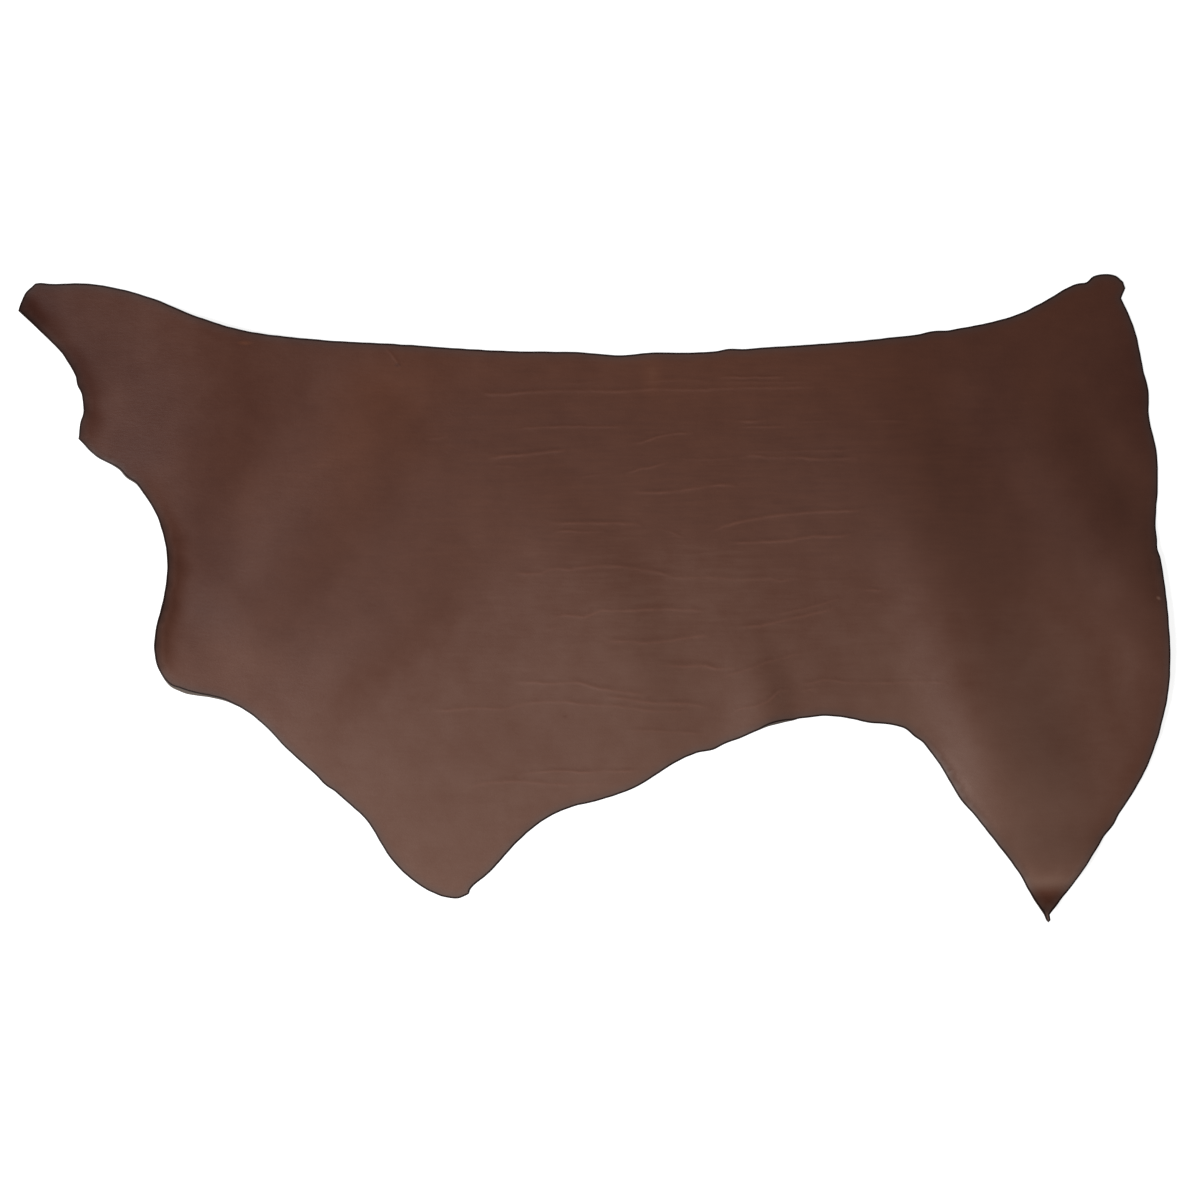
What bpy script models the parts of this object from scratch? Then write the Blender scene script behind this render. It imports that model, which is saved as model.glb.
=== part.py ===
"""One side of cattle leather, half a hide cut down the backbone, lying grain side up.

Metres, +Z up. +X runs along the back from the head end to the tail, +Y runs from the belly
to the backbone, and the origin is on the surface that the side lies on, under the middle of
its box. The side is one sheet of even thickness. It lies flat but for the soft folds that
it keeps from being rolled, and its shanks and neck end lift a little off the surface.
"""

import math
from collections import namedtuple

import bmesh
import bpy
import numpy as np
from mathutils import Vector
from mathutils.geometry import delaunay_2d_cdt

THICKNESS = 0.0022

# How finely the sheet is divided: along the cut edge, between the points inside it, from
# those to the cut edge, and along the crest of a fold
OUTLINE_STEP = 0.024
CELL = 0.031
MARGIN = 0.55 * CELL
FOLD_STEP = 0.02

# For the triangulation: keep what lies inside the cut edge, and take points this close as one
KEEP_INSIDE = 1
WELD = 1e-6

# The cut edge, clockwise as seen on the grain side. It has a corner where two stretches meet.
CUT_EDGE = {
    "cheek": [(-1.151, 0.573), (-1.139, 0.609), (-1.119, 0.627)],
    "backbone": [
        (-1.119, 0.627), (-1.000, 0.627), (-0.893, 0.602), (-0.796, 0.563), (-0.699, 0.534),
        (-0.548, 0.516), (-0.389, 0.507), (-0.189, 0.494), (-0.029, 0.491), (0.052, 0.485),
        (0.121, 0.491), (0.192, 0.490), (0.332, 0.500), (0.531, 0.514), (0.732, 0.539),
        (0.844, 0.566), (0.903, 0.595), (0.956, 0.625), (0.984, 0.631),
    ],
    "tail_root": [
        (0.984, 0.631), (0.998, 0.643), (1.020, 0.648), (1.042, 0.644), (1.058, 0.632),
        (1.062, 0.619), (1.054, 0.599),
    ],
    "butt": [
        (1.054, 0.599), (1.080, 0.539), (1.103, 0.427), (1.111, 0.355), (1.125, 0.291),
        (1.127, 0.215), (1.123, 0.139), (1.139, 0.035), (1.149, -0.077), (1.147, -0.185),
        (1.117, -0.309), (1.084, -0.379), (1.020, -0.477), (0.958, -0.573), (0.909, -0.632),
    ],
    "hind_shank_nub": [
        (0.909, -0.632), (0.910, -0.643), (0.905, -0.648), (0.901, -0.644), (0.896, -0.631),
    ],
    "flank": [
        (0.896, -0.631), (0.873, -0.595), (0.848, -0.551), (0.748, -0.419), (0.679, -0.319),
        (0.638, -0.271), (0.612, -0.259), (0.535, -0.246), (0.464, -0.237), (0.423, -0.241),
        (0.398, -0.243),
    ],
    "belly": [
        (0.398, -0.246), (0.352, -0.256), (0.282, -0.285), (0.176, -0.323), (0.080, -0.381),
        (0.011, -0.405), (-0.057, -0.423), (-0.099, -0.444), (-0.148, -0.483),
        (-0.178, -0.515), (-0.201, -0.541), (-0.251, -0.585),
    ],
    "fore_shank": [
        (-0.251, -0.585), (-0.253, -0.591), (-0.269, -0.601), (-0.308, -0.597),
        (-0.364, -0.566), (-0.407, -0.523), (-0.457, -0.445), (-0.498, -0.407),
        (-0.607, -0.311), (-0.668, -0.249), (-0.709, -0.220), (-0.761, -0.201),
        (-0.804, -0.195), (-0.847, -0.179), (-0.874, -0.137), (-0.879, -0.085),
        (-0.857, 0.019), (-0.854, 0.083), (-0.873, 0.161), (-0.916, 0.227), (-0.965, 0.265),
        (-0.995, 0.281), (-1.032, 0.317),
    ],
    "throat": [
        (-1.032, 0.317), (-1.022, 0.363), (-1.028, 0.417), (-1.060, 0.481), (-1.109, 0.533),
        (-1.151, 0.573),
    ],
}

# A fold is a soft ridge. Its crest is a route of x, y and height above the surface, and left
# and right are how far it reaches on either hand of that route.
Fold = namedtuple("Fold", "name left right crest")
FOLDS = (
    Fold("flank_ridge", 0.20, 0.14,
         ((0.63, 0.24, 0.001), (0.69, 0.02, 0.009), (0.77, -0.22, 0.016),
          (0.82, -0.36, 0.017), (0.87, -0.47, 0.006))),
    Fold("loin_ridge", 0.17, 0.32,
         ((0.53, 0.46, 0.003), (0.58, 0.30, 0.009), (0.64, 0.12, 0.008),
          (0.70, -0.04, 0.002))),
    Fold("hock_ridge", 0.12, 0.16,
         ((1.00, 0.14, 0.003), (1.12, -0.02, 0.010), (1.17, -0.17, 0.010),
          (1.12, -0.32, 0.004))),
    Fold("rump_ridge", 0.11, 0.13,
         ((0.82, 0.42, 0.002), (0.94, 0.26, 0.007), (1.08, 0.09, 0.005))),
    Fold("hind_shank_crease", 0.045, 0.09,
         ((0.99, -0.535, 0.008), (0.81, -0.535, 0.008))),
    Fold("hind_shank_tip", 0.08, 0.08,
         ((0.83, -0.665, 0.024), (0.98, -0.665, 0.024))),
    Fold("neck_ridge", 0.20, 0.20,
         ((-0.71, 0.55, 0.006), (-0.78, 0.43, 0.013), (-0.84, 0.26, 0.013),
          (-0.89, 0.12, 0.006))),
    Fold("shoulder_ridge", 0.16, 0.15,
         ((-0.40, 0.42, 0.002), (-0.48, 0.30, 0.010), (-0.59, 0.16, 0.012),
          (-0.70, 0.02, 0.006))),
    Fold("elbow_ridge", 0.10, 0.14,
         ((-0.24, 0.10, 0.002), (-0.36, -0.01, 0.008), (-0.50, -0.14, 0.008),
          (-0.60, -0.24, 0.003))),
    Fold("belly_swell", 0.13, 0.25,
         ((-0.20, 0.22, 0.001), (-0.10, 0.14, 0.004), (0.00, 0.03, 0.005),
          (0.06, -0.12, 0.005), (0.09, -0.26, 0.003))),
    Fold("belly_crease", 0.065, 0.11,
         ((0.31, -0.11, 0.002), (0.34, -0.19, 0.006), (0.35, -0.30, 0.007))),
    Fold("throat_curl", 0.085, 0.085,
         ((-1.215, 0.585, 0.018), (-1.135, 0.475, 0.018), (-1.08, 0.37, 0.016),
          (-1.09, 0.28, 0.005))),
    Fold("elbow_curl", 0.085, 0.085,
         ((-0.92, 0.18, 0.005), (-0.90, 0.05, 0.015), (-0.925, -0.10, 0.017),
          (-0.95, -0.18, 0.010))),
)

LEATHER_COLOUR = (0.095, 0.045, 0.033, 1.0)
LEATHER_ROUGHNESS = 0.5


def clear_scene():
    for obj in list(bpy.data.objects):
        bpy.data.objects.remove(obj, do_unlink=True)


def smooth_route(landmarks, step):
    """Points at most a step apart on the centripetal spline through the landmarks."""
    knots = [Vector(landmark) for landmark in landmarks]
    knots = [2 * knots[0] - knots[1], *knots, 2 * knots[-1] - knots[-2]]
    route = []
    for before, start, end, after in zip(knots, knots[1:], knots[2:], knots[3:]):
        t1 = math.sqrt((start - before).length)
        t2 = t1 + math.sqrt((end - start).length)
        t3 = t2 + math.sqrt((after - end).length)
        pieces = math.ceil((end - start).length / step)
        for i in range(pieces):
            t = t1 + (t2 - t1) * i / pieces
            a = before.lerp(start, t / t1)
            b = start.lerp(end, (t - t1) / (t2 - t1))
            c = end.lerp(after, (t - t2) / (t3 - t2))
            near = a.lerp(b, t / t2)
            far = b.lerp(c, (t - t1) / (t3 - t1))
            route.append(near.lerp(far, (t - t1) / (t2 - t1)))
    route.append(knots[-2])
    return route


def cut_edge_loop():
    loop = []
    for landmarks in CUT_EDGE.values():
        loop += smooth_route(landmarks, OUTLINE_STEP)[:-1]
    return loop


def nearest_on_route(points, route):
    """For each point: its distance to the route, the height there, and its side.

    The side is 1 on the left of the route and -1 on the right, and turns smoothly from one
    to the other round the route's ends.
    """
    distance = np.full(len(points), np.inf)
    height = np.zeros(len(points))
    side = np.zeros(len(points))
    for start, end in zip(route, route[1:]):
        along = (end - start)[:2]
        offset = points - start[:2]
        share = np.clip(offset @ along / (along @ along), 0.0, 1.0)
        gap = offset - share[:, None] * along
        length = np.hypot(gap[:, 0], gap[:, 1])
        across = (along[0] * gap[:, 1] - along[1] * gap[:, 0]) / np.hypot(*along)
        nearer = length < distance
        distance[nearer] = length[nearer]
        height[nearer] = (start[2] + share * (end[2] - start[2]))[nearer]
        side[nearer] = (across / np.maximum(length, 1e-9))[nearer]
    return distance, height, side


def fold_heights(points):
    """Height of the sheet's underside at each point: the folds, and 0 between them."""
    total = np.zeros(len(points))
    for fold in FOLDS:
        route = np.array(smooth_route(fold.crest, FOLD_STEP))
        distance, height, side = nearest_on_route(points, route)
        reach = (fold.left + fold.right) / 2 + side * (fold.left - fold.right) / 2
        total += height * (1 + np.cos(np.pi * np.minimum(distance / reach, 1.0))) / 2
    return total


def lattice_clear_of(loop):
    """A triangular lattice of points over the hide's box, clear of the cut edge by a margin."""
    corners = np.array([*loop, loop[0]])
    low = corners.min(axis=0)
    high = corners.max(axis=0)
    row_gap = CELL * math.sin(math.pi / 3)
    points = []
    for row in range(int((high[1] - low[1]) / row_gap) + 1):
        start = low[0] + CELL * (row % 2) / 2
        for x in np.arange(start, high[0], CELL):
            points.append((x, low[1] + row * row_gap))
    points = np.array(points)
    distance, _, _ = nearest_on_route(points, np.pad(corners, ((0, 0), (0, 1))))
    return [Vector(point) for point in points[distance > MARGIN]]


def sheet_mesh():
    """The sheet's underside: the cut edge filled with even triangles, lifted into its folds."""
    loop = cut_edge_loop()
    edges = [(i, (i + 1) % len(loop)) for i in range(len(loop))]
    points, _, faces, _, _, _ = delaunay_2d_cdt(
        loop + lattice_clear_of(loop), edges, [], KEEP_INSIDE, WELD
    )
    heights = fold_heights(np.array(points))
    mesh = bpy.data.meshes.new("hide")
    mesh.from_pydata([(*point, z) for point, z in zip(points, heights)], [], faces)

    bm = bmesh.new()
    bm.from_mesh(mesh)
    outside = [vert for vert in bm.verts if not vert.link_faces]
    bmesh.ops.delete(bm, geom=outside, context="VERTS")
    xs = [vert.co.x for vert in bm.verts]
    ys = [vert.co.y for vert in bm.verts]
    middle = Vector(((min(xs) + max(xs)) / 2, (min(ys) + max(ys)) / 2, 0.0))
    bmesh.ops.translate(bm, vec=-middle, verts=bm.verts)
    for edge in bm.edges:
        edge.smooth = not edge.is_boundary
    bm.to_mesh(mesh)
    bm.free()
    return mesh


def leather_material():
    material = bpy.data.materials.new("brown_leather")
    material.use_nodes = True
    shader = material.node_tree.nodes["Principled BSDF"]
    shader.inputs["Base Color"].default_value = LEATHER_COLOUR
    shader.inputs["Roughness"].default_value = LEATHER_ROUGHNESS
    shader.inputs["Metallic"].default_value = 0.0
    return material


def make_hide(collection):
    mesh = sheet_mesh()
    mesh.materials.append(leather_material())
    hide = bpy.data.objects.new("hide", mesh)
    collection.objects.link(hide)
    wall = hide.modifiers.new("thickness", "SOLIDIFY")
    wall.thickness = THICKNESS
    wall.offset = 1.0
    wall.use_even_offset = True
    return hide


def main():
    clear_scene()
    collection = bpy.data.collections.new("leather_hide")
    bpy.context.scene.collection.children.link(collection)
    make_hide(collection)


main()
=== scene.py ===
"""The finished look of one side of brown cattle leather, laid out grain side up.

Metres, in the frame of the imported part: +X runs along the back from the head end to the
tail, +Y from the belly to the backbone, +Z up out of the grain side.

The sheet follows the folds and the cut edge of the solid that it stands for. Its grain side
has the growth wrinkles, its flesh side a short nap, and its cut edge slants a little, as a
knife leaves it.
"""

import math
from collections import namedtuple

import bmesh
import bpy
from mathutils import Matrix, Vector, noise
from mathutils.bvhtree import BVHTree
from mathutils.kdtree import KDTree

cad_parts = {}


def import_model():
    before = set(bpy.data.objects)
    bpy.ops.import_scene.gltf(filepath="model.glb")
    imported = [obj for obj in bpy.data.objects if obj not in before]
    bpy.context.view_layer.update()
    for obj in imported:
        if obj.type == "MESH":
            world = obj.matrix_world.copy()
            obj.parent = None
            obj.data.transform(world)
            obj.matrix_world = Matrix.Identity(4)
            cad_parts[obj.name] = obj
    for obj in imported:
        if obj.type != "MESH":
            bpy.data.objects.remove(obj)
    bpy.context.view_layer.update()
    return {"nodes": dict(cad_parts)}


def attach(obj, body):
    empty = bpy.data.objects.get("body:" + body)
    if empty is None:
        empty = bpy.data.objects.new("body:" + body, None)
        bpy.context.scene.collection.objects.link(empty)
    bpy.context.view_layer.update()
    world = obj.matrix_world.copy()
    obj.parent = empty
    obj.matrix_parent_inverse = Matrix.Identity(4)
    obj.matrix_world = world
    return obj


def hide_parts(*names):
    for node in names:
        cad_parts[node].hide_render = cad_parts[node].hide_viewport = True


# The side as it is sold: its thickness
THICKNESS = 0.0022

# The solid's underside is what looks down more than this. Its points are joined when they
# are this close
FACING = 0.5
WELD = 1e-6

# How finely the sheet is divided: inside, along the cut edge, and how far the even cells
# stay from the cut edge, which turns a corner where it bends more than that
CELL = 0.008
EDGE_STEP = 0.006
EDGE_MARGIN = 0.011
CORNER = math.radians(35)

# The rim is two bands of cells along the cut edge: how deep it is, how much clear room its
# inner points need and how fast it narrows to leave that, and each row of points, by its
# share of the depth and its share of the dark line
RIM_DEPTH = 0.0040
RIM_ROOM = 1.15
RIM_NARROWING = 0.8
RIM_ROWS = ((0.0, 1.0), (0.6, 1.0), (1.0, 0.0))

# A triangle on the rim is flat when its far edge has more than this share of its outline
FLAT_EAR = 0.495

# Rounds of fairing that take the flats out of the folds and leave their height
FAIRING_ROUNDS = 30
FAIR_OUT = 0.5
FAIR_BACK = -0.53

# The sheet's three surfaces, by the order of their materials
GRAIN = 0
FLESH = 1
CUT = 2

# The knife's slant on the cut edge, and its rounded upper corner
KNIFE_SLANT = 0.0006
EDGE_ROUND = 0.0005

# The cut edge is pared to a wider slope in places: x, y, how far that reaches each way, and
# how wide the slope is. The grain side is drawn in with it, less and less over the falloff
Paring = namedtuple("Paring", "x y reach width")
PARINGS = (
    Paring(-0.820, -0.192, 0.060, 0.0060),
    Paring(-0.760, -0.203, 0.050, 0.0025),
    Paring(-0.930, 0.245, 0.060, 0.0015),
    Paring(0.365, -0.248, 0.045, 0.0040),
)
PARING_FALLOFF = 0.025

# The cut edge strays from its smooth course, a little all along, and more in places: x, y,
# how far that reaches each way, and how far out it strays
Stray = namedtuple("Stray", "x y reach out")
STRAYS = (
    Stray(-1.109, 0.630, 0.020, 0.0030),
    Stray(-1.033, 0.423, 0.022, 0.0035),
    Stray(-1.029, 0.347, 0.032, 0.0040),
    Stray(-0.933, 0.239, 0.026, 0.0040),
    Stray(-0.539, -0.373, 0.026, 0.0030),
    Stray(-0.253, -0.590, 0.018, 0.0025),
    Stray(0.236, -0.302, 0.034, 0.0040),
    Stray(0.550, -0.249, 0.040, 0.0025),
    Stray(0.640, -0.274, 0.026, 0.0040),
    Stray(0.726, -0.394, 0.080, 0.0044),
    Stray(0.272, 0.499, 0.030, 0.0030),
    Stray(0.676, 0.533, 0.034, 0.0032),
    Stray(1.104, 0.412, 0.050, 0.0040),
    Stray(1.124, 0.097, 0.022, -0.0030),
    Stray(1.036, -0.455, 0.032, 0.0028),
)
STRAY_ALL_ALONG = 0.0008
STRAY_LENGTH = 0.022

# A growth wrinkle is a fine raised line on the grain side: its height, half its width, and
# its route in x and y
Wrinkle = namedtuple("Wrinkle", "height half_width route")
FINE = 0.00020
MIDDLING = 0.00030
STRONG = 0.00042
NARROW = 0.0037
WIDE = 0.0048
WRINKLES = (
    Wrinkle(MIDDLING, WIDE, ((-0.229, 0.408), (-0.184, 0.406), (-0.118, 0.411),
                             (-0.016, 0.413), (0.053, 0.412), (0.124, 0.417), (0.193, 0.415),
                             (0.295, 0.419), (0.370, 0.419), (0.441, 0.421))),
    Wrinkle(FINE, NARROW, ((-0.073, 0.428), (-0.029, 0.428), (0.008, 0.432))),
    Wrinkle(FINE, NARROW, ((0.094, 0.431), (0.164, 0.434), (0.235, 0.433))),
    Wrinkle(FINE, NARROW, ((0.245, 0.430), (0.310, 0.431), (0.375, 0.430), (0.442, 0.431))),
    Wrinkle(STRONG, NARROW, ((0.245, 0.440), (0.316, 0.440), (0.382, 0.441))),
    Wrinkle(MIDDLING, NARROW, ((-0.161, 0.337), (-0.127, 0.339), (-0.095, 0.341), (-0.041, 0.342),
                           (0.008, 0.341), (0.062, 0.342))),
    Wrinkle(STRONG, WIDE, ((-0.213, 0.279), (-0.180, 0.282), (-0.127, 0.287), (-0.082, 0.292),
                           (-0.057, 0.293))),
    Wrinkle(MIDDLING, NARROW, ((-0.339, 0.316), (-0.311, 0.319), (-0.290, 0.323))),
    Wrinkle(STRONG, NARROW, ((0.066, 0.307), (0.098, 0.311), (0.135, 0.323), (0.170, 0.328),
                             (0.202, 0.328))),
    Wrinkle(FINE, NARROW, ((-0.205, 0.262), (-0.180, 0.263), (-0.150, 0.262))),
    Wrinkle(FINE, NARROW, ((0.165, 0.277), (0.230, 0.276), (0.280, 0.278))),
    Wrinkle(STRONG, NARROW, ((0.062, 0.248), (0.098, 0.258), (0.119, 0.262), (0.151, 0.271))),
    Wrinkle(FINE, NARROW, ((-0.033, 0.238), (-0.005, 0.244), (0.041, 0.248))),
    Wrinkle(STRONG, WIDE, ((0.076, 0.210), (0.123, 0.210), (0.161, 0.212), (0.214, 0.220),
                           (0.255, 0.225), (0.286, 0.223))),
    Wrinkle(MIDDLING, WIDE, ((0.288, 0.281), (0.320, 0.284), (0.357, 0.279), (0.402, 0.280),
                             (0.459, 0.276), (0.528, 0.279))),
    Wrinkle(FINE, NARROW, ((0.304, 0.291), (0.410, 0.293), (0.496, 0.294), (0.520, 0.295))),
    Wrinkle(STRONG, NARROW, ((0.280, 0.352), (0.345, 0.353))),
    Wrinkle(MIDDLING, NARROW, ((0.286, 0.341), (0.324, 0.341), (0.385, 0.342))),
    Wrinkle(FINE, NARROW, ((0.398, 0.350), (0.476, 0.353))),
    Wrinkle(FINE, NARROW, ((0.530, 0.352), (0.580, 0.353), (0.628, 0.352))),
    Wrinkle(STRONG, WIDE, ((0.234, 0.132), (0.263, 0.143), (0.296, 0.152), (0.345, 0.161),
                           (0.386, 0.166), (0.447, 0.171), (0.532, 0.173))),
    Wrinkle(STRONG, WIDE, ((0.267, 0.109), (0.353, 0.112), (0.402, 0.116), (0.439, 0.122),
                           (0.479, 0.122), (0.514, 0.126))),
    Wrinkle(STRONG, WIDE, ((-0.091, 0.148), (-0.029, 0.149), (0.012, 0.149), (0.078, 0.147),
                           (0.098, 0.144))),
    Wrinkle(STRONG, NARROW, ((-0.086, 0.130), (-0.053, 0.133), (-0.013, 0.131),
                             (0.025, 0.132))),
    Wrinkle(FINE, NARROW, ((0.127, 0.138), (0.155, 0.130), (0.184, 0.118))),
    Wrinkle(MIDDLING, WIDE, ((-0.165, 0.048), (-0.105, 0.049), (-0.087, 0.057),
                             (-0.051, 0.056), (-0.002, 0.062), (0.052, 0.062),
                             (0.084, 0.057), (0.130, 0.050), (0.166, 0.040), (0.224, 0.040),
                             (0.296, 0.036), (0.352, 0.037), (0.378, 0.034),
                             (0.410, 0.041))),
    Wrinkle(STRONG, WIDE, ((-0.088, -0.047), (-0.067, -0.036), (-0.015, -0.038),
                           (0.011, -0.027), (0.060, -0.026), (0.122, -0.023),
                           (0.178, -0.024), (0.220, -0.027))),
    Wrinkle(FINE, NARROW, ((-0.104, -0.066), (-0.067, -0.058))),
    Wrinkle(FINE, NARROW, ((0.044, -0.045), (0.088, -0.045))),
    Wrinkle(STRONG, WIDE, ((0.019, -0.088), (0.060, -0.087), (0.105, -0.090),
                           (0.158, -0.085), (0.199, -0.078), (0.231, -0.076))),
    Wrinkle(STRONG, WIDE, ((0.288, -0.060), (0.332, -0.056), (0.378, -0.046),
                           (0.431, -0.034), (0.484, -0.021))),
    Wrinkle(MIDDLING, NARROW, ((0.361, -0.035), (0.426, -0.021), (0.492, -0.003))),
    Wrinkle(STRONG, NARROW, ((0.526, 0.014), (0.556, 0.015), (0.588, 0.014))),
    Wrinkle(MIDDLING, NARROW, ((0.535, -0.013), (0.578, -0.013))),
    Wrinkle(STRONG, WIDE, ((0.128, -0.135), (0.186, -0.137), (0.218, -0.136),
                           (0.243, -0.141), (0.282, -0.141))),
    Wrinkle(MIDDLING, NARROW, ((0.253, -0.162), (0.284, -0.151), (0.320, -0.139),
                               (0.353, -0.127), (0.394, -0.117), (0.414, -0.111))),
    Wrinkle(STRONG, WIDE, ((-0.161, -0.170), (-0.121, -0.170), (-0.088, -0.172),
                           (-0.031, -0.170), (0.007, -0.181), (0.044, -0.186),
                           (0.101, -0.194))),
    Wrinkle(STRONG, WIDE, ((0.019, -0.199), (0.060, -0.202), (0.122, -0.211),
                           (0.182, -0.212), (0.235, -0.221))),
    Wrinkle(MIDDLING, WIDE, ((-0.325, -0.226), (-0.296, -0.226), (-0.243, -0.221),
                             (-0.177, -0.222), (-0.129, -0.211), (-0.063, -0.208),
                             (-0.023, -0.213), (0.044, -0.217), (0.101, -0.225),
                             (0.191, -0.229))),
    Wrinkle(STRONG, NARROW, ((0.271, -0.235), (0.296, -0.221), (0.324, -0.217),
                             (0.353, -0.203), (0.374, -0.186), (0.394, -0.184))),
    Wrinkle(MIDDLING, NARROW, ((0.406, -0.172), (0.439, -0.170), (0.463, -0.165),
                               (0.500, -0.169), (0.541, -0.171), (0.602, -0.170),
                               (0.667, -0.169), (0.704, -0.170))),
    Wrinkle(MIDDLING, NARROW, ((0.410, -0.188), (0.451, -0.181))),
    Wrinkle(MIDDLING, NARROW, ((0.064, -0.265), (0.121, -0.267), (0.182, -0.270),
                               (0.230, -0.273))),
    Wrinkle(STRONG, NARROW, ((-0.149, -0.353), (-0.109, -0.349), (-0.067, -0.347),
                             (-0.023, -0.349), (0.019, -0.347), (0.064, -0.347),
                             (0.092, -0.345))),
    Wrinkle(MIDDLING, WIDE, ((-0.251, -0.382), (-0.223, -0.372), (-0.145, -0.368),
                             (-0.088, -0.373), (-0.031, -0.374), (0.011, -0.371))),
    Wrinkle(MIDDLING, NARROW, ((-0.420, 0.503), (-0.403, 0.482), (-0.386, 0.458))),
)

# The steps of a wrinkle's route, its tapered ends, how it wanders and how uneven its height is
WRINKLE_STEP = 0.004
WRINKLE_TAPER = 0.030
WRINKLE_WANDER = 0.0012
WANDER_LENGTH = 0.018
UNEVEN = 0.7
UNEVEN_LENGTH = 0.030

# The groove beside it, in shares of its half width and its height
GROOVE_OFFSET = 1.6
GROOVE_DEPTH = 0.35

# The cells are halved this near to a wrinkle, once for each
WRINKLE_CELLS = (0.009, 0.006)

# Where the tone lies deeper or paler than its even fade, partly as the dye's own patches and
# partly as painted light and painted shade where folds, curled margins and the tip face
# towards the lamp or away from it: the middle of the place, how far it reaches along and
# across, how its length is turned, and how much paler it is
DyeAndShading = namedtuple("DyeAndShading", "x y along across turn paler")
DYE_AND_PAINTED_SHADING = (
    DyeAndShading(-0.66, -0.02, 0.55, 0.45, 45, -0.20),
    DyeAndShading(-0.36, -0.52, 0.40, 0.35, 0, -0.09),
    DyeAndShading(-1.00, 0.56, 0.35, 0.16, 0, 0.08),
    DyeAndShading(0.10, 0.56, 0.80, 0.26, 0, 0.20),
    DyeAndShading(0.12, 0.05, 0.45, 0.55, 0, 0.08),
    DyeAndShading(1.20, 0.00, 0.45, 0.90, 0, -0.20),
    DyeAndShading(0.94, 0.60, 0.28, 0.18, 30, 0.10),
    DyeAndShading(0.95, -0.10, 0.24, 0.30, -25, 0.09),
    DyeAndShading(0.84, 0.25, 0.26, 0.18, -30, -0.08),
    # Painted shade on the throat's and the elbow's curled-up margins, which face away from the
    # lamp
    DyeAndShading(-1.06, 0.43, 0.28, 0.24, 0, -0.22),
    DyeAndShading(-0.87, 0.32, 0.24, 0.22, 0, -0.12),
    DyeAndShading(-0.81, 0.02, 0.17, 0.24, 0, -0.15),
    DyeAndShading(-0.42, 0.36, 0.17, 0.20, 0, 0.11),
    DyeAndShading(0.40, 0.42, 0.55, 0.20, 0, 0.08),
    # Painted light on the lit flank of the ridge across the hind flank
    DyeAndShading(0.60, -0.22, 0.12, 0.15, 0, 0.12),
    DyeAndShading(0.99, 0.13, 0.13, 0.13, 0, -0.09),
    DyeAndShading(0.89, -0.39, 0.11, 0.11, 0, 0.09),
    DyeAndShading(1.10, 0.40, 0.10, 0.14, 0, -0.09),
    # Painted shade at the throat's tip, along the neck's rim and on the elbow's curl
    DyeAndShading(-1.12, 0.58, 0.10, 0.10, 0, -0.16),
    DyeAndShading(-0.92, 0.27, 0.10, 0.10, 0, -0.12),
    DyeAndShading(-0.78, 0.14, 0.13, 0.17, 0, -0.07),
    DyeAndShading(-0.37, 0.44, 0.26, 0.10, 0, 0.10),
    DyeAndShading(-0.50, 0.20, 0.10, 0.24, 0, 0.10),
    DyeAndShading(0.25, 0.04, 0.18, 0.12, 0, 0.06),
    DyeAndShading(0.56, -0.09, 0.13, 0.12, 0, 0.08),
    DyeAndShading(0.76, -0.19, 0.11, 0.09, 0, -0.07),
    DyeAndShading(0.89, 0.42, 0.07, 0.09, 0, 0.09),
    DyeAndShading(0.79, 0.34, 0.08, 0.24, 0, -0.07),
    # Painted light along a band over the shoulder's folds, and painted shade beside it
    DyeAndShading(-0.57, 0.255, 0.26, 0.06, 33, 0.06),
    DyeAndShading(-0.66, 0.38, 0.12, 0.12, 0, -0.05),
    DyeAndShading(-0.71, -0.12, 0.11, 0.10, 0, 0.12),
    DyeAndShading(-0.96, 0.39, 0.09, 0.10, 0, 0.08),
    DyeAndShading(1.04, 0.28, 0.08, 0.10, 0, 0.09),
    DyeAndShading(1.09, 0.17, 0.05, 0.14, 0, 0.06),
    DyeAndShading(1.07, -0.15, 0.06, 0.12, 0, 0.07),
    DyeAndShading(-0.15, -0.30, 0.30, 0.10, 0, -0.05),
    DyeAndShading(0.84, 0.10, 0.10, 0.14, 0, -0.05),
    # Painted light on the band where the hind shank's tip bends down, and painted shade on the
    # tip that curls up beyond it
    DyeAndShading(0.905, -0.565, 0.10, 0.018, 0, 0.18),
    DyeAndShading(0.905, -0.606, 0.10, 0.037, 0, -0.60),
)

# Painted shade in a broad margin inside the cut edge, where the sheet falls away towards the
# edge and turns from the lamp: the middle of the place, how far it reaches, the margin's
# depth, and how much paler it is
Margin = namedtuple("Margin", "x y reach depth paler")
SHADED_MARGINS = (
    Margin(1.05, -0.43, 0.28, 0.060, -0.12),
    Margin(0.72, -0.40, 0.20, 0.030, -0.05),
)

# Small marks in the grain: the middle, half the length and width, how it is turned, and how
# much paler it is
Mark = namedtuple("Mark", "x y half_length half_width turn paler")
MARKS = (
    Mark(-0.393, 0.465, 0.008, 0.0060, 0, -0.30),
    Mark(-0.698, 0.509, 0.018, 0.0060, 0, 0.32),
    # A paler streak along a short crease near the backbone: a painted highlight
    Mark(0.114, 0.440, 0.056, 0.0260, 90, 0.14),
    Mark(-0.058, -0.238, 0.007, 0.0050, 0, -0.14),
    Mark(1.127, -0.001, 0.007, 0.0045, -35, 0.80),
)

# The middle of the side, where its fine growth lines show most, and how strongly
LINED = Mark(0.18, 0.22, 0.85, 0.48, 0, 0.24)

# Slow swells over the whole grain side, too low for the folds
SWELL_HEIGHT = 0.0005
SWELL_LENGTH = 0.11

# How far in from the cut edge the colour is greyer and darker, and what it keeps of its own
# saturation and brightness there
DULL_MARGIN = 0.026
DULL_SATURATION = 0.76
DULL_VALUE = 0.78

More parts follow.
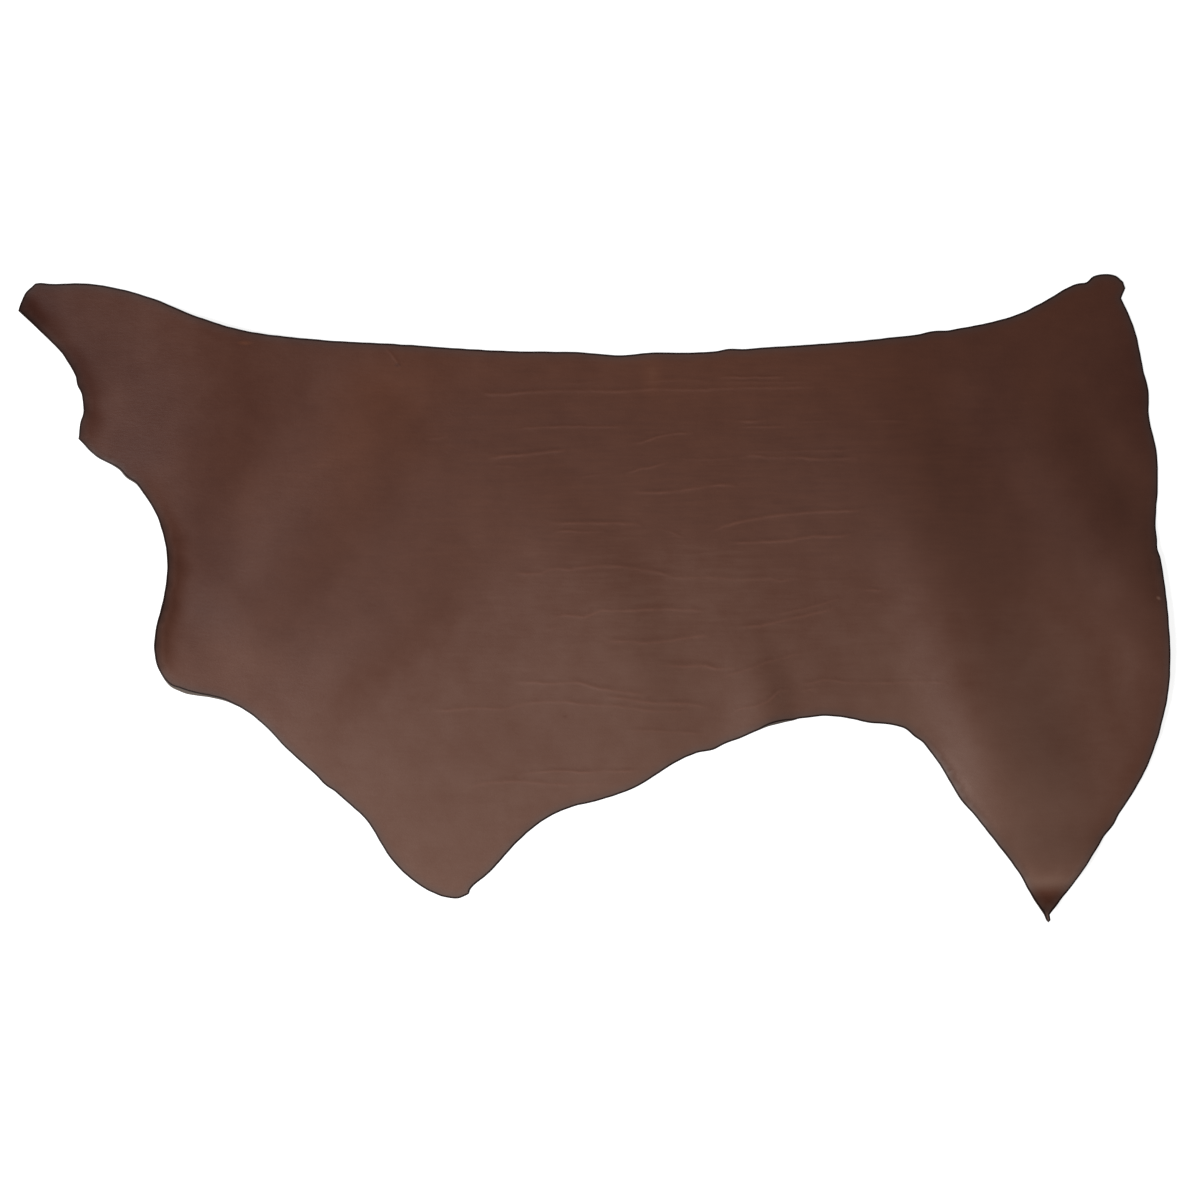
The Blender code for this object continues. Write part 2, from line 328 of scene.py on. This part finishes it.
# Shading turns sharply only over edges steeper than this
SHARP = math.radians(40)

# Dyed grain from its deepest to its palest tone. It fades towards the belly, partly in the dye
# and partly as painted light and sheen. The dye is redder towards the backbone and the head;
# towards the belly its tones are greyer, partly a painted sheen
BACK_TONES = (
    (0.0, (0.037, 0.006, 0.001)),
    (0.5, (0.085, 0.0225, 0.007)),
    (1.0, (0.146, 0.0595, 0.028)),
)
BELLY_TONES_AND_SHEEN = (
    (0.0, (0.038, 0.009, 0.004)),
    (0.5, (0.083, 0.0285, 0.015)),
    (1.0, (0.144, 0.0725, 0.049)),
)

# The fade for each metre towards the backbone, partly dye and partly painted light, and how
# much redder the dye is there, towards the head and in clouds
FADE_PER_METRE = -0.60
RED_PER_METRE = 2.0
RED_FROM = 0.09
RED_TO_THE_HEAD = -0.7
RED_IN_CLOUDS = 0.6

# The grain's patterns: their size, detail, roughness and stretch, and how strongly they tint
# the dye, where they do
Pattern = namedtuple("Pattern", "size detail roughness stretch tint", defaults=(0.0,))
EVEN = (1.0, 1.0, 1.0)
BROAD = Pattern(0.30, 2.0, 0.5, EVEN, 0.11)
CLOUDS = Pattern(0.055, 4.0, 0.6, EVEN, 0.15)
GROWTH_LINES = Pattern(0.007, 3.0, 0.5, (0.09, 1.0, 1.0), 0.07)
SPECKS = Pattern(0.0022, 2.0, 0.5, EVEN, 0.10)

# A wrinkle's crest takes that share of its colour, paler partly as rubbed grain and partly as a
# painted highlight, and its groove is that much darker, as painted shade
CREST_COLOUR = (0.150, 0.057, 0.036)
CREST_SHARE = 0.30
GROOVE_PAINTED_SHADE = 0.06
EDGE_LINE_COLOUR = (0.011, 0.003, 0.002)

# How strongly the wax shines, how much less where the tone is deeper, by dye and by painted
# shade alike, and on the edge's line, and its roughness, more in clouds
WAX_SHINE = 0.5
SHINE_PER_TONE = 0.5
SHINE_PER_LINE = -0.5
WAX_ROUGHNESS = 0.40
CLOUD_ROUGHNESS = 0.16

# Bumps too small for the mesh: fine creases and pores
CREASES = Pattern(0.006, 4.0, 0.6, (0.35, 1.0, 1.0))
CREASE_DEPTH = 0.00020
PORE_SIZE = 0.0011
PORE_DEPTH = 0.00010

# The flesh side's nap and patches, and the cut edge's fibres
NAP = Pattern(0.0016, 4.0, 0.7, EVEN, 0.5)
NAP_DEPTH = 0.0004
PATCHES = Pattern(0.045, 4.0, 0.6, EVEN, 0.5)
FIBRES = Pattern(0.0010, 4.0, 0.7, (1.0, 1.0, 3.0))
FIBRE_DEPTH = 0.0003
FLESH_TONES = ((0.2, (0.085, 0.052, 0.038)), (0.8, (0.190, 0.130, 0.098)))
CUT_TONES = ((0.3, (0.035, 0.024, 0.020)), (0.8, (0.150, 0.120, 0.100)))

# The pale floor, and the glow that lifts it to white
FLOOR_COLOUR = (0.40, 0.40, 0.40)
FLOOR_GLOW = 0.84

# The view from straight above: 2.4 m of floor fill the frame
VIEW_CENTRE = (0.0115, -0.0047)
VIEW_WIDTH = 2.4
LENS = 85.0
SENSOR = 36.0

# The studio: a large soft lamp towards the head and belly, and pale light all round
LAMP_AZIMUTH = math.radians(207)
LAMP_ELEVATION = math.radians(36)
LAMP_DISTANCE = 8.0
LAMP_SIZE = 3.2
LAMP_POWER = 1030.0
SKY_STRENGTH = 0.20
FLOOR_HALF_WIDTH = 20.0
FLOOR_GAP = 0.0002


def smooth_route(landmarks, step):
    """Points at most a step apart on the centripetal spline through the landmarks."""
    knots = [Vector(landmark) for landmark in landmarks]
    knots = [2 * knots[0] - knots[1], *knots, 2 * knots[-1] - knots[-2]]
    route = []
    for before, start, end, after in zip(knots, knots[1:], knots[2:], knots[3:]):
        t1 = math.sqrt((start - before).length)
        t2 = t1 + math.sqrt((end - start).length)
        t3 = t2 + math.sqrt((after - end).length)
        pieces = math.ceil((end - start).length / step)
        for i in range(pieces):
            t = t1 + (t2 - t1) * i / pieces
            a = before.lerp(start, t / t1)
            b = start.lerp(end, (t - t1) / (t2 - t1))
            c = end.lerp(after, (t - t2) / (t3 - t2))
            near = a.lerp(b, t / t2)
            far = b.lerp(c, (t - t1) / (t3 - t1))
            route.append(near.lerp(far, (t - t1) / (t2 - t1)))
    route.append(knots[-2])
    return route


def soft(distance, reach):
    """1 at no distance, 0 from reach on, and a smooth bell between."""
    return 0.5 + 0.5 * math.cos(math.pi * min(distance / reach, 1.0))


# The sheet


def flesh_side_of(solid):
    """The underside of the CAD solid, as a mesh of its own that looks up."""
    bm = bmesh.new()
    bm.from_mesh(solid.data)
    bmesh.ops.remove_doubles(bm, verts=bm.verts, dist=WELD)
    bm.normal_update()
    others = [face for face in bm.faces if face.normal.z > -FACING]
    bmesh.ops.delete(bm, geom=others, context="FACES")
    bmesh.ops.reverse_faces(bm, faces=bm.faces)
    return bm


def boundary_of(bm):
    """The points round the mesh's one open edge, in order."""
    edge = next(edge for edge in bm.edges if edge.is_boundary)
    first, vert = edge.verts
    loop = [first]
    while vert != first:
        loop.append(vert)
        edge = next(e for e in vert.link_edges if e.is_boundary and e != edge)
        vert = edge.other_vert(vert)
    return [vert.co.to_2d() for vert in loop]


def smooth_cut_edge(points):
    """The same outline in finer steps: smooth, but for its corners."""
    count = len(points)
    corners = []
    for i in range(count):
        before = points[i] - points[i - 1]
        after = points[(i + 1) % count] - points[i]
        if before.angle(after) > CORNER:
            corners.append(i)
    outline = []
    for start, end in zip(corners, [*corners[1:], corners[0] + count]):
        stretch = [points[i % count] for i in range(start, end + 1)]
        outline += smooth_route(stretch, EDGE_STEP)[:-1]
    return outline


def inward_at(outline):
    """The direction into the side at each point of the outline."""
    following = [*outline[1:], outline[0]]
    area = sum(a.x * b.y - b.x * a.y for a, b in zip(outline, following))
    directions = []
    for before, after in zip([outline[-1], *outline[:-1]], following):
        along = (after - before).normalized()
        directions.append(Vector((-along.y, along.x)) * math.copysign(1.0, area))
    return directions


def uneven_cut_edge(outline):
    """The outline as the knife left it, which strays a little from its smooth course."""
    strayed = []
    for point, inward in zip(outline, inward_at(outline)):
        out = noise.noise(point.to_3d() / STRAY_LENGTH) * STRAY_ALL_ALONG
        for stray in STRAYS:
            away = (point - Vector((stray.x, stray.y))).length
            out += stray.out * soft(away, stray.reach)
        strayed.append(point - inward * out)
    return strayed


def tree_of(points):
    """The points, to find the nearest of them."""
    tree = KDTree(len(points))
    for i, point in enumerate(points):
        tree.insert(point.to_3d(), i)
    tree.balance()
    return tree


def even_cells(bm, outline, folds):
    """A grid of even cells over the side, trimmed to lie clear inside the cut edge."""
    low = Vector((min(p.x for p in outline), min(p.y for p in outline)))
    high = Vector((max(p.x for p in outline), max(p.y for p in outline)))
    middle = (low + high) / 2
    half = (high - low) / 2
    bmesh.ops.create_grid(
        bm,
        x_segments=round(2 * half.x / CELL),
        y_segments=round(2 * half.y / CELL),
        size=1.0,
        matrix=Matrix.Translation(middle.to_3d()) @ Matrix.Diagonal((half.x, half.y, 1, 1)),
    )
    edge_points = tree_of(outline)

    def is_clear(vert):
        if edge_points.find(vert.co)[2] < EDGE_MARGIN:
            return False
        below = Vector((vert.co.x, vert.co.y, -1.0))
        return folds.ray_cast(below, Vector((0, 0, 1)))[0] is not None

    outside = [vert for vert in bm.verts if not is_clear(vert)]
    while outside:
        bmesh.ops.delete(bm, geom=outside, context="VERTS")
        outside = [
            vert for vert in bm.verts
            if not vert.link_faces
            or sum(edge.is_boundary for edge in vert.link_edges) not in (0, 2)
        ]


def rim_draws(outline):
    """How far each point of the outline is drawn in to the rim's inner row."""
    edge_points = tree_of(outline)
    draws = []
    for point, inward in zip(outline, inward_at(outline)):
        draw = inward * RIM_DEPTH
        while edge_points.find_n((point + draw).to_3d(), 2)[1][2] < RIM_ROOM * draw.length:
            draw *= RIM_NARROWING
        draws.append(draw)
    return draws


def add_rim(bm, outline):
    """The bands of cells along the cut edge. Gives back the edges of the inner row."""
    line = bm.verts.layers.float.new("edge_line")
    draws = rim_draws(outline)
    rows = []
    for depth, dark in RIM_ROWS:
        row = [bm.verts.new((p + d * depth).to_3d()) for p, d in zip(outline, draws)]
        for vert in row:
            vert[line] = dark
        rows.append(row)
    for outer, inner in zip(rows, rows[1:]):
        for i in range(len(outline)):
            bm.faces.new((outer[i - 1], outer[i], inner[i], inner[i - 1]))
    return [bm.edges.get((inner[i - 1], inner[i])) for i in range(len(outline))]


def join_to_cut_edge(bm, outline):
    """Adds the rim, and fills the strip between it and the even cells."""
    inner = [edge for edge in bm.edges if edge.is_boundary]
    outer = add_rim(bm, outline)
    made = bmesh.ops.triangle_fill(
        bm, use_beauty=True, use_dissolve=False, edges=inner + outer, normal=(0, 0, 1)
    )
    strip = [item for item in made["geom"] if isinstance(item, bmesh.types.BMFace)]
    inside = set(strip)
    between = [
        edge for edge in bm.edges
        if len(edge.link_faces) == 2 and inside.issuperset(edge.link_faces)
    ]
    bmesh.ops.beautify_fill(bm, faces=strip, edges=between, method="ANGLE")
    turn_ears(outer)
    bmesh.ops.recalc_face_normals(bm, faces=bm.faces)
    bm.normal_update()
    if sum(face.normal.z for face in bm.faces) < 0:
        bmesh.ops.reverse_faces(bm, faces=bm.faces)


def turn_ears(rim):
    """Turns the far edge of each flat triangle that has its two other edges on the rim."""
    flat = []
    triangles = [face for edge in rim for face in edge.link_faces if len(face.edges) == 3]
    for face in dict.fromkeys(triangles):
        far = [edge for edge in face.edges if edge not in rim]
        if len(far) == 1 and far[0].calc_length() > FLAT_EAR * face.calc_perimeter():
            flat += far
    for edge in flat:
        bmesh.utils.edge_rotate(edge)


def raise_onto_folds(bm, folds):
    """Lifts the flat sheet to the grain side's height over the folds, and fairs it."""
    up = Vector((0, 0, 1))
    for vert in bm.verts:
        hit = folds.ray_cast(Vector((vert.co.x, vert.co.y, -1.0)), up)[0]
        if hit is None:
            hit = folds.find_nearest(vert.co)[0]
        vert.co.z = hit.z + THICKNESS
    for _ in range(FAIRING_ROUNDS):
        for factor in (FAIR_OUT, FAIR_BACK):
            bmesh.ops.smooth_vert(bm, verts=bm.verts, factor=factor, use_axis_z=True)


def give_thickness(bm):
    """Adds the flesh side below and the cut edge round, and marks the three by material."""
    grain = set(bm.faces)
    bmesh.ops.solidify(bm, geom=bm.faces, thickness=THICKNESS)
    bmesh.ops.recalc_face_normals(bm, faces=bm.faces)
    for face in set(bm.faces) - grain:
        beside = {other for edge in face.edges for other in edge.link_faces}
        face.material_index = CUT if beside & grain else FLESH
    for vert in bm.verts:
        vert.co.z = max(vert.co.z, 0.0)


def grain_verts(bm):
    return [v for v in bm.verts if any(f.material_index == GRAIN for f in v.link_faces)]


def rim_verts(bm):
    """The vertices where the grain side meets the cut edge."""
    return [v for v in grain_verts(bm) if any(f.material_index == CUT for f in v.link_faces)]


def slant_cut_edge(bm):
    """Draws the grain side in from the cut edge: a little all round, and where it is pared."""
    inward = []
    places = []
    for vert in rim_verts(bm):
        outward = sum((f.normal for f in vert.link_faces if f.material_index == CUT), Vector())
        inward.append(-outward.to_2d().normalized())
        places.append(vert.co.copy())
    tree = tree_of(places)
    for vert in grain_verts(bm):
        _, i, distance = tree.find(vert.co)
        if distance > PARING_FALLOFF:
            continue
        width = KNIFE_SLANT
        for paring in PARINGS:
            away = (places[i].to_2d() - Vector((paring.x, paring.y))).length
            width += paring.width * soft(away, paring.reach)
        move = inward[i] * width * soft(distance, PARING_FALLOFF)
        vert.co += move.to_3d()


# The growth wrinkles


class WrinkleLines:
    """The wrinkles' routes as close points, each with its direction, height and half width."""

    def __init__(self):
        self.points = []
        self.across = []
        self.height = []
        self.half_width = []
        for wrinkle in WRINKLES:
            self.add(wrinkle)
        self.tree = tree_of(self.points)

    def add(self, wrinkle):
        route = smooth_route(wrinkle.route, WRINKLE_STEP)
        length = WRINKLE_STEP * len(route)
        for i, (start, end) in enumerate(zip(route, route[1:])):
            place = start.to_3d()
            along = (end - start).normalized()
            wander = noise.noise(place / WANDER_LENGTH) * WRINKLE_WANDER
            from_end = min(i, len(route) - i) * WRINKLE_STEP
            fade = min(1.0, from_end / min(WRINKLE_TAPER, length / 2))
            uneven = 1.0 + UNEVEN * noise.noise(place / UNEVEN_LENGTH)
            across = Vector((-along.y, along.x, 0.0))
            self.points.append(place + across * wander)
            self.across.append(across)
            self.height.append(wrinkle.height * fade * uneven)
            self.half_width.append(wrinkle.half_width)

    def distance(self, co):
        return self.tree.find(Vector((co.x, co.y, 0.0)))[2]

    def at(self, co):
        """The nearest wrinkle's signed distance across, its height and its half width."""
        flat = Vector((co.x, co.y, 0.0))
        _, i, distance = self.tree.find(flat)
        side = (flat - self.points[i]).dot(self.across[i])
        return math.copysign(distance, side), self.height[i], self.half_width[i]


def refine_at_wrinkles(bm, lines):
    """Smaller cells on the grain side, where a wrinkle runs."""
    for reach in WRINKLE_CELLS:
        edges = []
        for edge in bm.edges:
            if any(face.material_index != GRAIN for face in edge.link_faces):
                continue
            if lines.distance((edge.verts[0].co + edge.verts[1].co) / 2) < reach:
                edges.append(edge)
        bmesh.ops.subdivide_edges(bm, edges=edges, cuts=1, use_grid_fill=True)
        many_sided = [face for face in bm.faces if len(face.verts) > 4]
        bmesh.ops.triangulate(bm, faces=many_sided, ngon_method="BEAUTY")
        near = [vert for vert in grain_verts(bm) if lines.distance(vert.co) < reach]
        inside = [v for v in near if all(f.material_index == GRAIN for f in v.link_faces)]
        bmesh.ops.smooth_vert(bm, verts=inside, factor=FAIR_OUT, use_axis_z=True)


def paler_by(co, from_edge):
    """How much paler the tone is at that point, from all the dye patches with their painted light
    and shade, and the painted shade of the margins, that reach it.
    """
    total = 0.0
    for shade in DYE_AND_PAINTED_SHADING:
        away = Vector((co.x - shade.x, co.y - shade.y))
        away.rotate(Matrix.Rotation(-math.radians(shade.turn), 2))
        share = Vector((away.x / shade.along, away.y / shade.across)).length
        total += shade.paler * soft(share, 1)
    for margin in SHADED_MARGINS:
        away = Vector((co.x - margin.x, co.y - margin.y)).length
        total += margin.paler * soft(away, margin.reach) * soft(from_edge, margin.depth)
    return total


def work_grain(bm, lines):
    """Raises the wrinkles and slow swells, and keeps where they lie, for the crests' paler colour
    and painted highlight and the grooves' painted shade, and where the dye patches and the
    painted light and shade lie.
    """
    crest = bm.verts.layers.float.new("crest")
    groove_shade = bm.verts.layers.float.new("groove_shade")
    paler = bm.verts.layers.float.new("paler")
    dull = bm.verts.layers.float.new("dull")
    rim = tree_of([vert.co for vert in rim_verts(bm)])
    for vert in grain_verts(bm):
        from_edge = rim.find(vert.co)[2]
        vert[paler] = paler_by(vert.co, from_edge)
        vert[dull] = soft(from_edge, DULL_MARGIN) ** 2
        if any(face.material_index == CUT for face in vert.link_faces):
            continue
        side, height, half_width = lines.at(vert.co)
        ridge = soft(abs(side), half_width)
        hollow = soft(abs(side - GROOVE_OFFSET * half_width), half_width)
        # Masks for the crest's paler colour and painted highlight, and for the groove's painted
        # shade
        vert[crest] = ridge * height / STRONG
        vert[groove_shade] = hollow * height / STRONG
        swell = noise.noise(vert.co / SWELL_LENGTH) * SWELL_HEIGHT
        vert.co.z += height * (ridge - GROOVE_DEPTH * hollow) + swell


def round_upper_corner(bm):
    """Rounds the edge between the grain side and the cut."""
    edges = [
        edge for edge in bm.edges
        if {face.material_index for face in edge.link_faces} == {GRAIN, CUT}
    ]
    bmesh.ops.bevel(
        bm, geom=edges, offset=EDGE_ROUND, offset_type="OFFSET", segments=2, profile=0.5,
        affect="EDGES", material=-1, clamp_overlap=True,
    )


def make_side(solid):
    """The whole side of leather as one closed mesh that stands for the CAD solid."""
    flesh = flesh_side_of(solid)
    folds = BVHTree.FromBMesh(flesh)
    outline = uneven_cut_edge(smooth_cut_edge(boundary_of(flesh)))
    flesh.free()

    bm = bmesh.new()
    even_cells(bm, outline, folds)
    join_to_cut_edge(bm, outline)
    raise_onto_folds(bm, folds)
    give_thickness(bm)
    slant_cut_edge(bm)
    lines = WrinkleLines()
    refine_at_wrinkles(bm, lines)
    work_grain(bm, lines)
    round_upper_corner(bm)

    mesh = bpy.data.meshes.new("leather_side")
    bm.to_mesh(mesh)
    bm.free()
    mesh.shade_smooth()
    mesh.set_sharp_from_angle(angle=SHARP)
    side = bpy.data.objects.new("leather_side", mesh)
    bpy.context.scene.collection.objects.link(side)
    return side


# Materials


def new_material(name):
    material = bpy.data.materials.new(name)
    material.use_nodes = True
    return material, material.node_tree, material.node_tree.nodes["Principled BSDF"]


def add_node(tree, kind, settings=None, **sockets):
    """A node of that kind, with its own settings, and sockets set by name."""
    made = tree.nodes.new("ShaderNode" + kind)
    for name, value in (settings or {}).items():
        setattr(made, name, value)
    for name, value in sockets.items():
        made.inputs[name.replace("_", " ")].default_value = value
    return made


def placed(tree, settings=None, **sockets):
    """Object coordinates through a mapping of its own."""
    place = tree.nodes.get("Texture Coordinate") or add_node(tree, "TexCoord")
    mapping = add_node(tree, "Mapping", settings, **sockets)
    tree.links.new(place.outputs["Object"], mapping.inputs["Vector"])
    return mapping.outputs["Vector"]


def noise_value(tree, pattern):
    """Noise from 0 to 1 with features of about the pattern's size in metres."""
    made = add_node(
        tree, "TexNoise", Scale=1.0 / pattern.size, Detail=pattern.detail,
        Roughness=pattern.roughness,
    )
    tree.links.new(placed(tree, Scale=pattern.stretch), made.inputs["Vector"])
    return made.outputs["Fac"]


def math_value(tree, operation, a, b, clamp=False):
    made = add_node(tree, "Math", {"operation": operation, "use_clamp": clamp})
    for socket, value in zip(made.inputs, (a, b)):
        if isinstance(value, bpy.types.NodeSocket):
            tree.links.new(value, socket)
        else:
            socket.default_value = value
    return made.outputs[0]


def scaled(tree, value, factor, offset):
    """value * factor + offset."""
    made = math_value(tree, "MULTIPLY_ADD", value, factor)
    made.node.inputs[2].default_value = offset
    return made


def weighted(tree, value, weight):
    """What a noise adds to a tone: nothing at its middle of 0.5."""
    return math_value(tree, "MULTIPLY", math_value(tree, "SUBTRACT", value, 0.5), weight)


def attribute_value(tree, name):
    return add_node(tree, "Attribute", {"attribute_name": name}).outputs["Fac"]


def mark_value(tree, mark):
    """1 in the middle of the mark, falling evenly to 0 at its border."""
    centred = placed(
        tree, {"vector_type": "TEXTURE"}, Location=(mark.x, mark.y, 0.0),
        Rotation=(0.0, 0.0, math.radians(mark.turn)),
        Scale=(mark.half_length, mark.half_width, 1.0),
    )
    gradient = add_node(tree, "TexGradient", {"gradient_type": "SPHERICAL"})
    tree.links.new(centred, gradient.inputs["Vector"])
    return gradient.outputs["Fac"]


def colour_ramp(tree, value, stops):
    ramp = add_node(tree, "ValToRGB")
    elements = ramp.color_ramp.elements
    while len(elements) < len(stops):
        elements.new(0.5)
    for element, (position, colour) in zip(elements, stops):
        element.position = position
        element.color = (*colour, 1.0)
    tree.links.new(value, ramp.inputs["Fac"])
    return ramp.outputs["Color"]


def mix_colour(tree, factor, a, b):
    """Colour a, and b where the factor is 1."""
    made = add_node(tree, "Mix", {"data_type": "RGBA"})
    named = {"Factor": made.inputs[0], "A": made.inputs[6], "B": made.inputs[7]}
    for socket, value in zip(named.values(), (factor, a, b)):
        if isinstance(value, bpy.types.NodeSocket):
            tree.links.new(value, socket)
        elif isinstance(value, tuple):
            socket.default_value = (*value, 1.0)
        else:
            socket.default_value = value
    return made.outputs[2]


def bump(tree, value, depth, below=None):
    """A bump of that depth in metres, over the normal of the bump below."""
    made = add_node(tree, "Bump", Strength=1.0, Distance=depth)
    tree.links.new(value, made.inputs["Height"])
    if below is not None:
        tree.links.new(below, made.inputs["Normal"])
    return made.outputs["Normal"]


def grain_tone(tree, along, clouds):
    """How pale the grain is: its fade, partly painted light, its patterns and marks, its dye
    patches with painted light and shade, the margins' painted shade and the grooves' painted
    shade, from 0 to 1.
    """
    growth_lines = noise_value(tree, GROWTH_LINES)
    tone = scaled(tree, along, FADE_PER_METRE, 0.5)
    for value, weight in (
        (noise_value(tree, BROAD), BROAD.tint),
        (clouds, CLOUDS.tint),
        (growth_lines, GROWTH_LINES.tint),
        (noise_value(tree, SPECKS), SPECKS.tint),
    ):
        tone = math_value(tree, "ADD", tone, weighted(tree, value, weight))
    lined = math_value(tree, "MULTIPLY", weighted(tree, growth_lines, LINED.paler),
                       mark_value(tree, LINED))
    tone = math_value(tree, "ADD", tone, lined)
    for mark in MARKS:
        marked = math_value(tree, "MULTIPLY", mark_value(tree, mark), mark.paler)
        tone = math_value(tree, "ADD", tone, marked)
    # The dye patches with painted light and shade, and the margins' painted shade
    tone = math_value(tree, "ADD", tone, attribute_value(tree, "paler"))
    # Painted shade in the wrinkles' grooves
    groove_shade = math_value(tree, "MULTIPLY", attribute_value(tree, "groove_shade"), GROOVE_PAINTED_SHADE)
    return math_value(tree, "SUBTRACT", tone, groove_shade, True)


def grain_redness(tree, place, clouds):
    """How red the dye is, from the belly's at 0 to the back's at 1."""
    redder = math_value(tree, "SUBTRACT", place["Y"], RED_FROM)
    redder = math_value(tree, "ADD", math_value(tree, "MULTIPLY", redder, RED_PER_METRE),
                        weighted(tree, clouds, RED_IN_CLOUDS))
    headward = math_value(tree, "MINIMUM", place["X"], 0.0)
    headward = math_value(tree, "MULTIPLY", headward, RED_TO_THE_HEAD)
    return math_value(tree, "ADD", redder, headward, True)


def grain_material():
    """Waxed full grain: dyed dark brown, paler where it is pulled, with painted light and shade
    in its tone and a low soft sheen.
    """
    material, tree, shader = new_material("waxed_grain")
    clouds = noise_value(tree, CLOUDS)
    place = add_node(tree, "SeparateXYZ")
    tree.links.new(placed(tree), place.inputs["Vector"])
    tone = grain_tone(tree, place.outputs["Y"], clouds)
    dye_with_painted_light = mix_colour(tree, grain_redness(tree, place.outputs, clouds),
                      colour_ramp(tree, tone, BELLY_TONES_AND_SHEEN),
                      colour_ramp(tree, tone, BACK_TONES))
    duller = add_node(tree, "HueSaturation", Saturation=DULL_SATURATION, Value=DULL_VALUE)
    tree.links.new(attribute_value(tree, "dull"), duller.inputs["Fac"])
    tree.links.new(dye_with_painted_light, duller.inputs["Color"])
    # The crests' paler colour: rubbed grain and a painted highlight
    crest = math_value(tree, "MULTIPLY", attribute_value(tree, "crest"), CREST_SHARE)
    dye_with_painted_light = mix_colour(tree, crest, duller.outputs["Color"], CREST_COLOUR)
    line = attribute_value(tree, "edge_line")
    tree.links.new(mix_colour(tree, line, dye_with_painted_light, EDGE_LINE_COLOUR), shader.inputs["Base Color"])

    roughness = scaled(tree, clouds, CLOUD_ROUGHNESS, WAX_ROUGHNESS)
    tree.links.new(roughness, shader.inputs["Roughness"])
    shine = scaled(tree, attribute_value(tree, "paler"), SHINE_PER_TONE, WAX_SHINE)
    shine = math_value(tree, "MINIMUM", shine, WAX_SHINE)
    shine = math_value(tree, "MULTIPLY", shine, scaled(tree, line, SHINE_PER_LINE, 1.0))
    tree.links.new(shine, shader.inputs["Specular IOR Level"])

    pores = add_node(tree, "TexVoronoi", {"feature": "F1"}, Scale=1.0 / PORE_SIZE,
                     Randomness=1.0)
    tree.links.new(placed(tree), pores.inputs["Vector"])
    normal = bump(tree, noise_value(tree, CREASES), CREASE_DEPTH)
    normal = bump(tree, pores.outputs["Distance"], PORE_DEPTH, normal)
    tree.links.new(normal, shader.inputs["Normal"])
    return material


def flesh_material():
    """The flesh side: a short, dull nap, paler than the grain."""
    material, tree, shader = new_material("flesh_nap")
    nap = noise_value(tree, NAP)
    patches = noise_value(tree, PATCHES)
    tone = math_value(tree, "ADD", math_value(tree, "MULTIPLY", nap, NAP.tint),
                      math_value(tree, "MULTIPLY", patches, PATCHES.tint), True)
    tree.links.new(colour_ramp(tree, tone, FLESH_TONES), shader.inputs["Base Color"])
    shader.inputs["Roughness"].default_value = 0.95
    shader.inputs["Specular IOR Level"].default_value = 0.2
    shader.inputs["Sheen Weight"].default_value = 0.25
    tree.links.new(bump(tree, nap, NAP_DEPTH), shader.inputs["Normal"])
    return material


def cut_material():
    """The cut edge: close layered fibres."""
    material, tree, shader = new_material("cut_fibres")
    fibres = noise_value(tree, FIBRES)
    tree.links.new(colour_ramp(tree, fibres, CUT_TONES), shader.inputs["Base Color"])
    shader.inputs["Roughness"].default_value = 0.85
    shader.inputs["Specular IOR Level"].default_value = 0.3
    tree.links.new(bump(tree, fibres, FIBRE_DEPTH), shader.inputs["Normal"])
    return material


# The studio


def lay_floor():
    bm = bmesh.new()
    bmesh.ops.create_grid(bm, x_segments=1, y_segments=1, size=FLOOR_HALF_WIDTH)
    bmesh.ops.translate(bm, verts=bm.verts, vec=(0, 0, -FLOOR_GAP))
    mesh = bpy.data.meshes.new("floor")
    bm.to_mesh(mesh)
    bm.free()
    material, _, shader = new_material("pale_floor")
    shader.inputs["Base Color"].default_value = (*FLOOR_COLOUR, 1.0)
    shader.inputs["Roughness"].default_value = 0.9
    shader.inputs["Specular IOR Level"].default_value = 0.1
    shader.inputs["Emission Color"].default_value = (1, 1, 1, 1)
    shader.inputs["Emission Strength"].default_value = FLOOR_GLOW
    mesh.materials.append(material)
    floor = bpy.data.objects.new("floor", mesh)
    bpy.context.scene.collection.objects.link(floor)


def hang_lamp():
    data = bpy.data.lights.new("lamp", "AREA")
    data.shape = "SQUARE"
    data.size = LAMP_SIZE
    data.energy = LAMP_POWER
    lamp = bpy.data.objects.new("lamp", data)
    towards = Vector((
        math.cos(LAMP_AZIMUTH) * math.cos(LAMP_ELEVATION),
        math.sin(LAMP_AZIMUTH) * math.cos(LAMP_ELEVATION),
        math.sin(LAMP_ELEVATION),
    ))
    lamp.location = towards * LAMP_DISTANCE
    lamp.rotation_euler = towards.to_track_quat("Z", "Y").to_euler()
    bpy.context.scene.collection.objects.link(lamp)


def light_sky():
    world = bpy.data.worlds.new("studio")
    world.use_nodes = True
    background = world.node_tree.nodes["Background"]
    background.inputs["Color"].default_value = (1, 1, 1, 1)
    background.inputs["Strength"].default_value = SKY_STRENGTH
    bpy.context.scene.world = world


def set_camera():
    """Straight above the side, so that its grain side fills the view's width."""
    data = bpy.data.cameras.new("camera")
    data.lens = LENS
    data.sensor_width = SENSOR
    camera = bpy.data.objects.new("camera", data)
    distance = VIEW_WIDTH * LENS / SENSOR
    camera.location = (*VIEW_CENTRE, distance + THICKNESS)
    bpy.context.scene.collection.objects.link(camera)
    bpy.context.scene.camera = camera


def main():
    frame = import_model()
    set_camera()
    side = make_side(frame["nodes"]["hide"])
    for material in (grain_material(), flesh_material(), cut_material()):
        side.data.materials.append(material)
    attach(side, "root")
    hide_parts("hide")
    lay_floor()
    hang_lamp()
    light_sky()
    bpy.context.scene.view_settings.view_transform = "Standard"


main()
